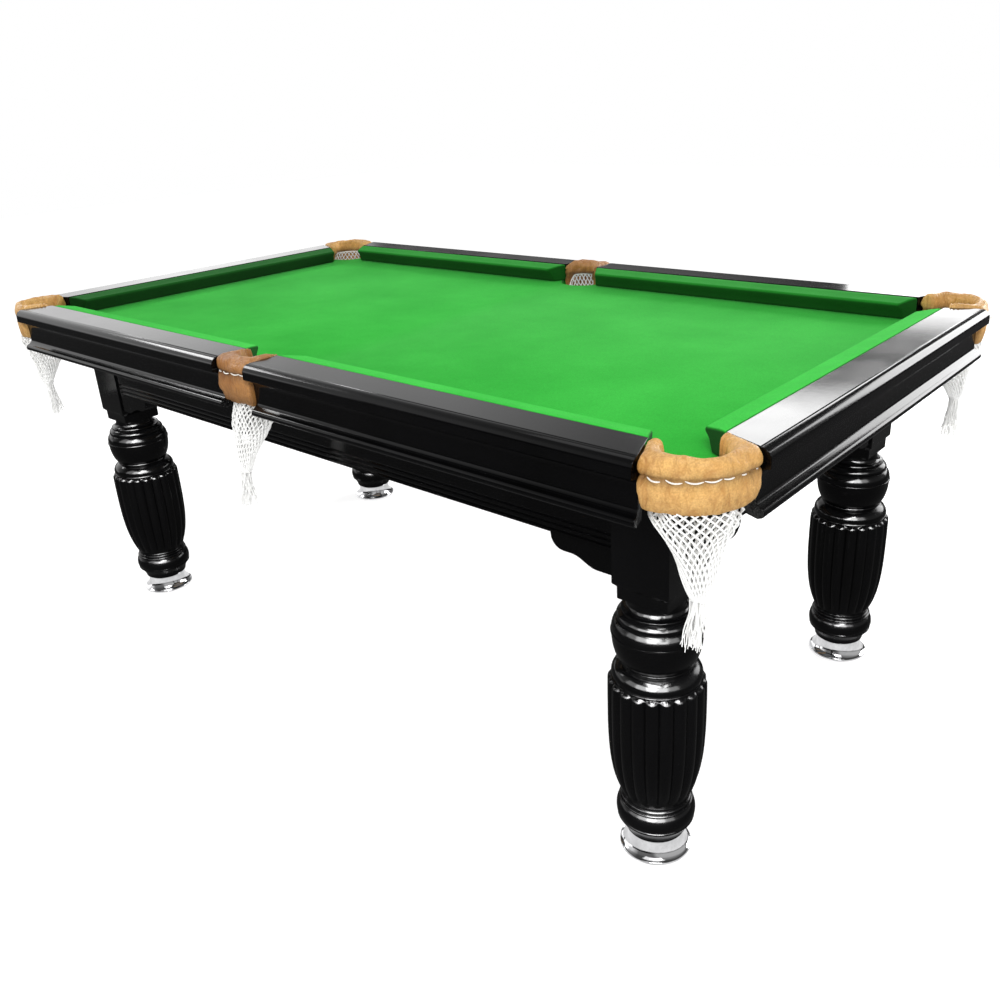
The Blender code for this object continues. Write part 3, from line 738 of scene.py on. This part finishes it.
# Each ring of a net: height, half-width outward, half-width along the rail, and its centre's
# shift outward and sideways.
CORNER_NET = ((0.770, 0.0440, 0.0470, 0.000, 0.0), (0.750, 0.0460, 0.0520, 0.000, 0.0),
              (0.733, 0.0510, 0.0565, 0.000, 0.0), (0.724, 0.0565, 0.0590, 0.001, 0.0),
              (0.712, 0.0560, 0.0585, 0.003, 0.0), (0.698, 0.0490, 0.0530, 0.006, 0.0),
              (0.680, 0.0390, 0.0410, 0.011, 0.0), (0.662, 0.0320, 0.0330, 0.016, 0.0),
              (0.644, 0.0260, 0.0265, 0.020, 0.0), (0.622, 0.0200, 0.0205, 0.025, 0.0),
              (0.600, 0.0120, 0.0120, 0.029, 0.0))
SIDE_NET = ((0.770, 0.0410, 0.0410, 0.008, 0.0), (0.745, 0.0430, 0.0430, 0.011, 0.0),
            (0.722, 0.0450, 0.0435, 0.016, 0.0), (0.706, 0.0450, 0.0440, 0.022, -0.003),
            (0.690, 0.0410, 0.0420, 0.029, -0.007), (0.668, 0.0340, 0.0370, 0.036, -0.012),
            (0.648, 0.0290, 0.0310, 0.041, -0.018), (0.625, 0.0230, 0.0245, 0.046, -0.026),
            (0.598, 0.0170, 0.0175, 0.050, -0.034), (0.572, 0.0115, 0.0115, 0.053, -0.040))
NET_ROWS = 21
NET_MESHES = 27
CORD_RADIUS = 0.00140
CORD_SPREAD = 0.0009  # of crossing cords, in and out from the net's surface
KNOT_RADIUS = 0.0022
RIM_CORD_RADIUS = 0.0015
NET_INNER_DROP = 0.034  # how much lower the net hangs on the table's side
TASSEL_CORDS = 46
BINDING_TURNS = 5
BINDING_PITCH = 0.0022


def net_point(path, row, angle, seed):
    """A point of the net at a row (0 top, NET_ROWS neck) and an angle from outward."""
    t = row / NET_ROWS * (len(path) - 1)
    i = min(int(t), len(path) - 2)
    height, out, along, shift, swing = (a + (b - a) * (t - i) for a, b in zip(path[i], path[i + 1]))
    inward = ease(1.1, 1.9, math.acos(math.cos(angle)))
    height -= NET_INNER_DROP * inward * max(0.0, 1 - row / 4)
    crumple = noise.noise(Vector((math.cos(angle) * 2.2, math.sin(angle) * 2.2, height * 22 + seed)))
    crease = 1 + 0.18 * crumple * min(row / 4, 1.0)
    return Vector((shift + out * crease * math.cos(angle),
                   swing + along * crease * math.sin(angle), height))


def net(name, place, is_corner, seed):
    """Knotted diamond netting gathered at its neck."""
    path = CORNER_NET if is_corner else SIDE_NET
    bm = bmesh.new()
    for i in range(NET_MESHES):
        for way in (-1, 1):
            cord = []
            for step in range(NET_ROWS * 3 + 1):
                row = step / 3
                angle = 2 * math.pi * (i + way * row / 2) / NET_MESHES
                point = net_point(path, row, angle, seed)
                point += Vector((math.cos(angle), math.sin(angle), 0)) * (CORD_SPREAD * way)
                cord.append(place @ point)
            tube(bm, cord, CORD_RADIUS, 5)
    for row in range(1, NET_ROWS - 2):
        for i in range(NET_MESHES):
            angle = 2 * math.pi * (i + row / 2) / NET_MESHES
            knot(bm, place @ net_point(path, row, angle, seed), KNOT_RADIUS)
    rim = [place @ net_point(path, 0, 2 * math.pi * k / 64, seed) for k in range(65)]
    tube(bm, rim, RIM_CORD_RADIUS, 6)
    mesh_piece(f"pocket_net_{name}_look", bm, COTTON, "table",
               [f"pocket_net_{name}"], 60)


def tassel(name, place, is_corner, rng):
    """The net's cords bound at the neck and left as a loose, frayed tail."""
    neck, _, _, shift, swing = (CORNER_NET if is_corner else SIDE_NET)[-1]
    centre = Vector((shift, swing, 0.0))
    bm = bmesh.new()
    for turn in range(BINDING_TURNS):
        ring = [place @ (polar(0.0112, 2 * math.pi * k / 20, neck + 0.003 - BINDING_PITCH * turn
                               + BINDING_PITCH * k / 20) + centre) for k in range(21)]
        tube(bm, ring, 0.0013, 6)
    for _ in range(TASSEL_CORDS):
        angle = rng.uniform(0, 2 * math.pi)
        start = math.sqrt(rng.uniform(0, 1)) * 0.0098
        end = start * rng.uniform(1.3, 2.3)
        length = rng.uniform(0.072, 0.090)
        wave = rng.uniform(0, 6.28)
        path = []
        for k in range(13):
            t = k / 12
            r = start + (end - start) * t * t + 0.0012 * math.sin(wave + 9 * t)
            a = angle + 0.35 * math.sin(wave * 2 + 5 * t)
            drift = Vector((-0.004 * t, 0.5 * swing * t, 0))
            path.append(place @ (polar(r, a, neck + 0.006 - (length + 0.006) * t) + centre + drift))
        tube(bm, path, rng.uniform(0.0010, 0.0014), 5, lambda t: 1.0 - 0.35 * t)
    mesh_piece(f"pocket_tassel_{name}", bm, COTTON, "table", (), 60)


def pocket_set():
    """Leather, stitching, net and tassel of each of the six pockets."""
    rng = random.Random(7)
    for seed, (name, place, is_corner) in enumerate(pockets()):
        leather(name, place, is_corner, seed * 1.7)
        stitching(name, place, is_corner)
        net(name, place, is_corner, seed * 2.3)
        tassel(name, place, is_corner, rng)


# -------------------- legs and feet

# The turned post from top to bottom: radius and height along each moulding.
LEG_CURVES = (
    ((0.0450, 0.4930), (0.0450, 0.4850), (0.0462, 0.4790), (0.0500, 0.4745), (0.0550, 0.4728)),
    ((0.0575, 0.4728), (0.0580, 0.4711), (0.0575, 0.4692)),
    ((0.0562, 0.4690), (0.0600, 0.4668), (0.0640, 0.4630), (0.0655, 0.4588), (0.0648, 0.4552)),
    ((0.0640, 0.4545), (0.0665, 0.4535), (0.0705, 0.4480), (0.0728, 0.4410), (0.0733, 0.4335)),
    ((0.0743, 0.4328), (0.0748, 0.4306), (0.0743, 0.4285)),
    ((0.0732, 0.4280), (0.0728, 0.4180), (0.0712, 0.4060), (0.0680, 0.3940), (0.0630, 0.3830),
     (0.0578, 0.3776)),
    ((0.0592, 0.3772), (0.0598, 0.3755), (0.0592, 0.3738)),
    ((0.0580, 0.3735), (0.0640, 0.3702), (0.0700, 0.3650), (0.0735, 0.3585), (0.0742, 0.3530),
     (0.0733, 0.3485)),
    ((0.0748, 0.3480), (0.0755, 0.3462), (0.0748, 0.3443)),
    ((0.0742, 0.3440), (0.0768, 0.3424), (0.0792, 0.3402), (0.0806, 0.3374)),
    ((0.0808, 0.3364), (0.0810, 0.3300), (0.0813, 0.3100), (0.0814, 0.2800), (0.0811, 0.2500),
     (0.0799, 0.2200), (0.0777, 0.1930), (0.0740, 0.1680), (0.0700, 0.1500), (0.0650, 0.1340),
     (0.0605, 0.1230), (0.0570, 0.1166)),
    ((0.0580, 0.1162), (0.0586, 0.1142), (0.0578, 0.1121)),
    ((0.0570, 0.1117), (0.0598, 0.1100), (0.0602, 0.1080), (0.0592, 0.1060)),
    ((0.0584, 0.1056), (0.0620, 0.1040), (0.0626, 0.1020), (0.0615, 0.1000)),
    ((0.0605, 0.0995), (0.0640, 0.0955), (0.0665, 0.0890), (0.0674, 0.0820), (0.0668, 0.0750),
     (0.0648, 0.0702)),
    ((0.0657, 0.0694), (0.0659, 0.0676), (0.0652, 0.0660)),
    ((0.0630, 0.0654), (0.0590, 0.0590), (0.0550, 0.0520), (0.0525, 0.0450), (0.0515, 0.0405)))
BARREL_TOP = 0.3441
BARREL_BOTTOM = 0.1166
LEDGE_BOTTOM = 0.3370
RING_RADIUS = 0.0742
STEM_BORE_RADIUS = 0.0086
HEAD_CHAMFER = 0.0012
THREAD_PITCH = 0.002
THREAD_DEPTH = 0.0009


def reed_drop(radius, theta, height):
    """How far the surface falls from a reed's crown to the valleys beside it.

    At the top the valleys stop at the ring's radius, which scallops the reeds' ledge.
    """
    if not BARREL_BOTTOM < height < BARREL_TOP:
        return 0.0
    pitch = 2 * math.pi * radius / REEDS
    curve = 0.66 * pitch
    across = ((theta * REEDS / (2 * math.pi)) % 1.0 - 0.5) * pitch
    depth = curve - math.sqrt(curve * curve - across * across)
    depth *= ease(BARREL_BOTTOM + 0.002, BARREL_BOTTOM + 0.016, height)
    if height > LEDGE_BOTTOM:
        depth = min(depth, radius - RING_RADIUS)
    return depth


def turned_rows(profile, steps, cut=None):
    """Rings of a profile turned about Z; cut gives how far they are carved at a point."""
    rows = []
    for radius, height in profile:
        row = []
        for k in range(steps):
            theta = 2 * math.pi * k / steps
            depth = cut(radius, theta, height) if cut else 0.0
            row.append(polar(radius - depth, theta, height))
        rows.append(row)
    return rows


def turned_mesh(name, profile, steps, material, cut=None):
    bm = bmesh.new()
    skin(bm, turned_rows(profile, steps, cut))
    return finished_mesh(name, bm, material, 40)


def chamfered_square(half, height):
    """A ring round a square whose corners are cut off by HEAD_CHAMFER."""
    ring = []
    for sx, sy, past_corner in ((1, -1, False), (1, 1, False), (1, 1, True), (-1, 1, True),
                                (-1, 1, False), (-1, -1, False), (-1, -1, True), (1, -1, True)):
        cut_x, cut_y = (HEAD_CHAMFER, 0) if past_corner else (0, HEAD_CHAMFER)
        ring.append(Vector((sx * (half - cut_x), sy * (half - cut_y), height)))
    return ring


def leg_mesh():
    """Turned and reeded post under a square head with a stepped lower edge."""
    profile = []
    for curve in LEG_CURVES:
        profile += spline(curve, 3)
    profile += [(0.0505, 0.0400), (STEM_BORE_RADIUS, 0.0400), (STEM_BORE_RADIUS, 0.0600)]
    head = ((0.0440, 0.4905), (0.0460, 0.4925), (0.0460, 0.5120), (0.0466, 0.5135), (0.0514, 0.5185),
            (0.0520, 0.5200), (0.0520, LEG_TOP - 0.0015), (0.0505, LEG_TOP))
    bm = bmesh.new()
    skin(bm, turned_rows(profile, REEDS * 10, reed_drop))
    skin(bm, [chamfered_square(half, height) for half, height in head])
    return finished_mesh("leg_look", bm, LEG_LACQUER, 32)


def foot_profile():
    """A bell foot: flat base, thin rim, bell, lip, and a bore for the stem."""
    rim = spline(((0.0600, 0.0002), (0.0616, 0.0008), (0.0620, 0.0025), (0.0616, 0.0044),
                  (0.0602, 0.0052)), 3)
    bell = spline(((0.0595, 0.0056), (0.0560, 0.0080), (0.0520, 0.0130), (0.0490, 0.0200),
                   (0.0472, 0.0280), (0.0462, 0.0345)), 4)
    lip = spline(((0.0468, 0.0350), (0.0470, 0.0365), (0.0462, 0.0380), (0.0440, 0.0385)), 3)
    bore = [(STEM_BORE_RADIUS, 0.0385), (STEM_BORE_RADIUS, 0.0125), (0.0010, 0.0125)]
    return [(0.0010, 0.0002), (0.0500, 0.0002)] + rim + bell + lip + bore


def stem_mesh():
    """Levelling stem with a right-hand thread."""
    rows = int((STEM_TOP - STEM_BOTTOM) / 0.00025)
    profile = [(0.0055, STEM_BOTTOM)]
    profile += [(0.0079, STEM_BOTTOM + 0.0006 + (STEM_TOP - STEM_BOTTOM - 0.0012) * k / rows)
                for k in range(rows + 1)]
    profile.append((0.0060, STEM_TOP))

    def thread(_, theta, height):
        turn = (height / THREAD_PITCH - theta / (2 * math.pi)) % 1.0
        return THREAD_DEPTH * abs(2 * turn - 1)

    return turned_mesh("stem_look", profile, 24, ZINC, thread)


def legs_and_feet():
    """A leg, a chrome foot and a threaded stem at each corner."""
    leg = leg_mesh()
    foot = turned_mesh("foot_look", foot_profile(), 128, CHROME)
    stem = stem_mesh()
    for side, sy in LONG_SIDES.items():
        for end_name, sx in ENDS.items():
            corner = f"{side}_{end_name}"
            place = (sx * LEG_X, sy * LEG_Y, 0.0)
            place_piece(f"leg_{corner}_look", leg, "table", [f"leg_{corner}"], place)
            place_piece(f"foot_{corner}_look", foot, f"foot_{corner}",
                        [f"foot_{corner}"], place)
            place_piece(f"leveller_stem_{corner}_look", stem, f"stem_{corner}",
                        [f"leveller_stem_{corner}"], place)


# -------------------- CAD nodes that stay

def dress_frame():
    """Materials, and softened edges, for the CAD nodes whose shape is already right."""
    looks = {"apron": (LACQUER, 0.0008), "bracket": (LACQUER, 0.0015), "slate": (SLATE, 0.0008),
             "cross": (TIMBER, 0.0020), "pocket_iron": (IRON, 0.0012)}
    for name, node in frame["nodes"].items():
        for prefix, (material, width) in looks.items():
            if name.startswith(prefix):
                node.data.materials.clear()
                node.data.materials.append(material)
                bevel(node, width, 2, 40)


# -------------------- floor, light and camera

FLOOR_HALF_SIZE = 12.0
FLOOR_HEIGHT = -0.0002  # just below the feet
FLOOR_GLOW = 0.62
FLOOR_REFLECTED = 0.09
FILL_LIGHT = 0.50
# Upright cards round the near leg that only the legs reflect: bearing in degrees and radiance.
LEG_CARDS = ((-124, 6.0), (-97, 24.0), (-70, 60.0), (-43, 38.0), (-16, 9.0))
LEG_CARD_DISTANCE = 2.6
LEG_CARD_HEIGHT = 1.75
CAMERA_PLACE = (1.5121, -1.4882, 1.2319)
CAMERA_PITCH = math.radians(22.464)
CAMERA_YAW = math.radians(41.711)
CAMERA_ROLL = math.radians(-3.002)
CAMERA_SENSOR_WIDTH = 36.0
CAMERA_LENS = 33.995
CAMERA_SHIFT = (-0.01835, -0.01942)


def softbox(name, place, target, size, radiance, only=()):
    """A rectangular light that the camera doesn't see; it may light only some pieces."""
    lamp = bpy.data.lights.new(name, "AREA")
    lamp.shape = "RECTANGLE"
    lamp.size, lamp.size_y = size
    lamp.energy = radiance * math.pi * size[0] * size[1]
    obj = bpy.data.objects.new(name, lamp)
    obj.location = place
    obj.rotation_euler = (Vector(target) - Vector(place)).to_track_quat("-Z", "Y").to_euler()
    obj.visible_camera = False
    bpy.context.scene.collection.objects.link(obj)
    if only:
        lit = bpy.data.collections.new(f"{name}_lights")
        for piece in bpy.context.scene.objects:
            if piece.name.startswith(only):
                lit.objects.link(piece)
        obj.light_linking.receiver_collection = lit


def floor():
    """Pale seamless floor, bright enough to meet the white surroundings; dimmer in reflections."""
    bm = bmesh.new()
    bmesh.ops.create_grid(bm, x_segments=1, y_segments=1, size=FLOOR_HALF_SIZE)
    mesh = bpy.data.meshes.new("floor")
    bm.to_mesh(mesh)
    bm.free()
    mat, shader, nodes = new_material("floor", Roughness=0.9, Specular_IOR_Level=0.1)
    shader.inputs["Base Color"].default_value = (0.80, 0.80, 0.80, 1.0)
    shader.inputs["Emission Color"].default_value = (1.0, 1.0, 1.0, 1.0)
    shader.inputs["Emission Strength"].default_value = FLOOR_GLOW
    reflected = nodes.add("ShaderNodeEmission")
    reflected.inputs["Strength"].default_value = FLOOR_REFLECTED
    by_gloss = nodes.add("ShaderNodeMixShader")
    nodes.feed(by_gloss.inputs["Fac"], nodes.add("ShaderNodeLightPath").outputs["Is Glossy Ray"])
    nodes.feed(by_gloss.inputs[1], shader.outputs[0])
    nodes.feed(by_gloss.inputs[2], reflected.outputs[0])
    nodes.feed(mat.node_tree.nodes["Material Output"].inputs["Surface"], by_gloss.outputs[0])
    mesh.materials.append(mat)
    obj = bpy.data.objects.new("floor", mesh)
    obj.location.z = FLOOR_HEIGHT
    bpy.context.scene.collection.objects.link(obj)


def surroundings():
    """White behind the table, even fill light, and a room that only its reflections see.

    The room is bright above a dark horizon, varies from left to right, and above the skyline it
    has a brighter and a darker part.
    """
    world = bpy.data.worlds.new("studio")
    bpy.context.scene.world = world
    world.use_nodes = True
    world.node_tree.nodes.clear()
    nodes = Nodes(world.node_tree)
    direction = nodes.add("ShaderNodeSeparateXYZ")
    nodes.feed(direction.inputs[0], nodes.add("ShaderNodeTexCoord").outputs["Generated"])
    height = nodes.maths("MULTIPLY_ADD", direction.outputs["Z"], 0.5)
    height.node.inputs[2].default_value = 0.5
    across = nodes.maths("MULTIPLY_ADD", direction.outputs["X"], 0.5)
    across.node.inputs[2].default_value = 0.5
    by_height = nodes.ramp(height, (0.0, 0.10), (0.49, 0.12), (0.53, 0.90), (0.60, 1.20), (0.76, 1.10),
                           (0.84, 0.60), (1.0, 0.40))
    by_side = nodes.ramp(across, (0.04, 1.45), (0.08, 0.95), (0.10, 0.74), (0.16, 0.74), (0.23, 0.36),
                         (0.30, 0.12), (0.70, 0.12), (0.80, 0.38))
    above_skyline = nodes.ramp(height, (0.575, 0.0), (0.600, 1.0))
    beside_skyline = nodes.ramp(across, (0.045, 1.0), (0.075, 2.4), (0.112, 2.4), (0.126, 0.05),
                                (0.60, 0.05), (0.70, 1.0))
    skyline = nodes.mix(above_skyline, beside_skyline, (1.0, 1.0, 1.0))
    room = nodes.mix(1.0, nodes.mix(1.0, by_height, by_side, "MULTIPLY"), skyline, "MULTIPLY")
    rays = nodes.add("ShaderNodeLightPath")
    reflected, fill, seen = (nodes.add("ShaderNodeBackground") for _ in range(3))
    nodes.feed(reflected.inputs["Color"], room)
    fill.inputs["Color"].default_value = (1.0, 1.0, 1.0, 1.0)
    fill.inputs["Strength"].default_value = FILL_LIGHT
    seen.inputs["Color"].default_value = (1.0, 1.0, 1.0, 1.0)
    by_gloss, by_camera = (nodes.add("ShaderNodeMixShader") for _ in range(2))
    nodes.feed(by_gloss.inputs["Fac"], rays.outputs["Is Glossy Ray"])
    nodes.feed(by_gloss.inputs[1], fill.outputs[0])
    nodes.feed(by_gloss.inputs[2], reflected.outputs[0])
    nodes.feed(by_camera.inputs["Fac"], rays.outputs["Is Camera Ray"])
    nodes.feed(by_camera.inputs[1], by_gloss.outputs[0])
    nodes.feed(by_camera.inputs[2], seen.outputs[0])
    output = nodes.add("ShaderNodeOutputWorld")
    nodes.feed(output.inputs["Surface"], by_camera.outputs[0])


def studio():
    """Softboxes behind, at the left and over the camera, and cards that only legs or feet see."""
    floor()
    surroundings()
    softbox("behind_high", (-0.45, 3.0, 2.24), (0.9, -0.2, 0.8), (1.5, 0.66), 7.0)
    softbox("behind_low", (0.40, 3.0, 1.15), (0.9, 0.4, 0.8), (1.3, 0.60), 5.0)
    softbox("behind_right", (1.85, 3.2, 1.60), (1.0, 0.0, 0.8), (1.5, 1.5), 7.5)
    softbox("left_high", (-4.0, -1.0, 3.30), (-0.1, -0.5, 0.8), (1.7, 0.7), 13.0)
    softbox("over_camera", (2.1, -2.3, 3.0), (0.8, -0.4, 0.4), (1.8, 0.8), 14.0)
    softbox("overhead", (0.0, 0.0, 3.2), (0.0, 0.0, 0.8), (2.4, 1.4), 1.0)
    for number, (turn, radiance) in enumerate(LEG_CARDS):
        bearing = math.radians(turn)
        card = (LEG_X + LEG_CARD_DISTANCE * math.cos(bearing),
                -LEG_Y + LEG_CARD_DISTANCE * math.sin(bearing), LEG_CARD_HEIGHT)
        softbox(f"leg_sheen_{number}", card, (LEG_X, -LEG_Y, 0.35), (1.25, 1.7), radiance, ("leg_",))
    softbox("leg_ledge_sheen", (1.55, -1.50, 2.9), (LEG_X, -LEG_Y, 0.3), (1.8, 1.3), 70.0, ("leg_",))
    softbox("foot_glow", (1.6, -2.0, 2.6), (LEG_X, -LEG_Y, 0.0), (2.6, 2.0), 1.0, ("foot_",))
    softbox("foot_floor", (0.0, 0.0, -0.0001), (0.0, 0.0, 1.0), (7.0, 7.0), 0.75, ("foot_",))


def camera():
    """Camera at the eye height, tilt and slight roll that show the table from its near corner."""
    ahead = Vector((-math.sin(CAMERA_YAW) * math.cos(CAMERA_PITCH),
                    math.cos(CAMERA_YAW) * math.cos(CAMERA_PITCH), -math.sin(CAMERA_PITCH)))
    right = Vector((math.cos(CAMERA_YAW), math.sin(CAMERA_YAW), 0.0))
    up = right.cross(ahead)
    rolled_right = math.cos(CAMERA_ROLL) * right + math.sin(CAMERA_ROLL) * up
    rolled_up = -math.sin(CAMERA_ROLL) * right + math.cos(CAMERA_ROLL) * up
    data = bpy.data.cameras.new("camera")
    data.sensor_width = CAMERA_SENSOR_WIDTH
    data.lens = CAMERA_LENS
    data.shift_x, data.shift_y = CAMERA_SHIFT
    obj = bpy.data.objects.new("camera", data)
    axes = Matrix((rolled_right, rolled_up, -ahead)).transposed().to_4x4()
    obj.matrix_world = Matrix.Translation(CAMERA_PLACE) @ axes
    bpy.context.scene.collection.objects.link(obj)
    bpy.context.scene.camera = obj
    bpy.context.scene.view_settings.view_transform = "Standard"


dress_frame()
rails()
cushions()
bed_cloth()
pocket_set()
legs_and_feet()
studio()
camera()
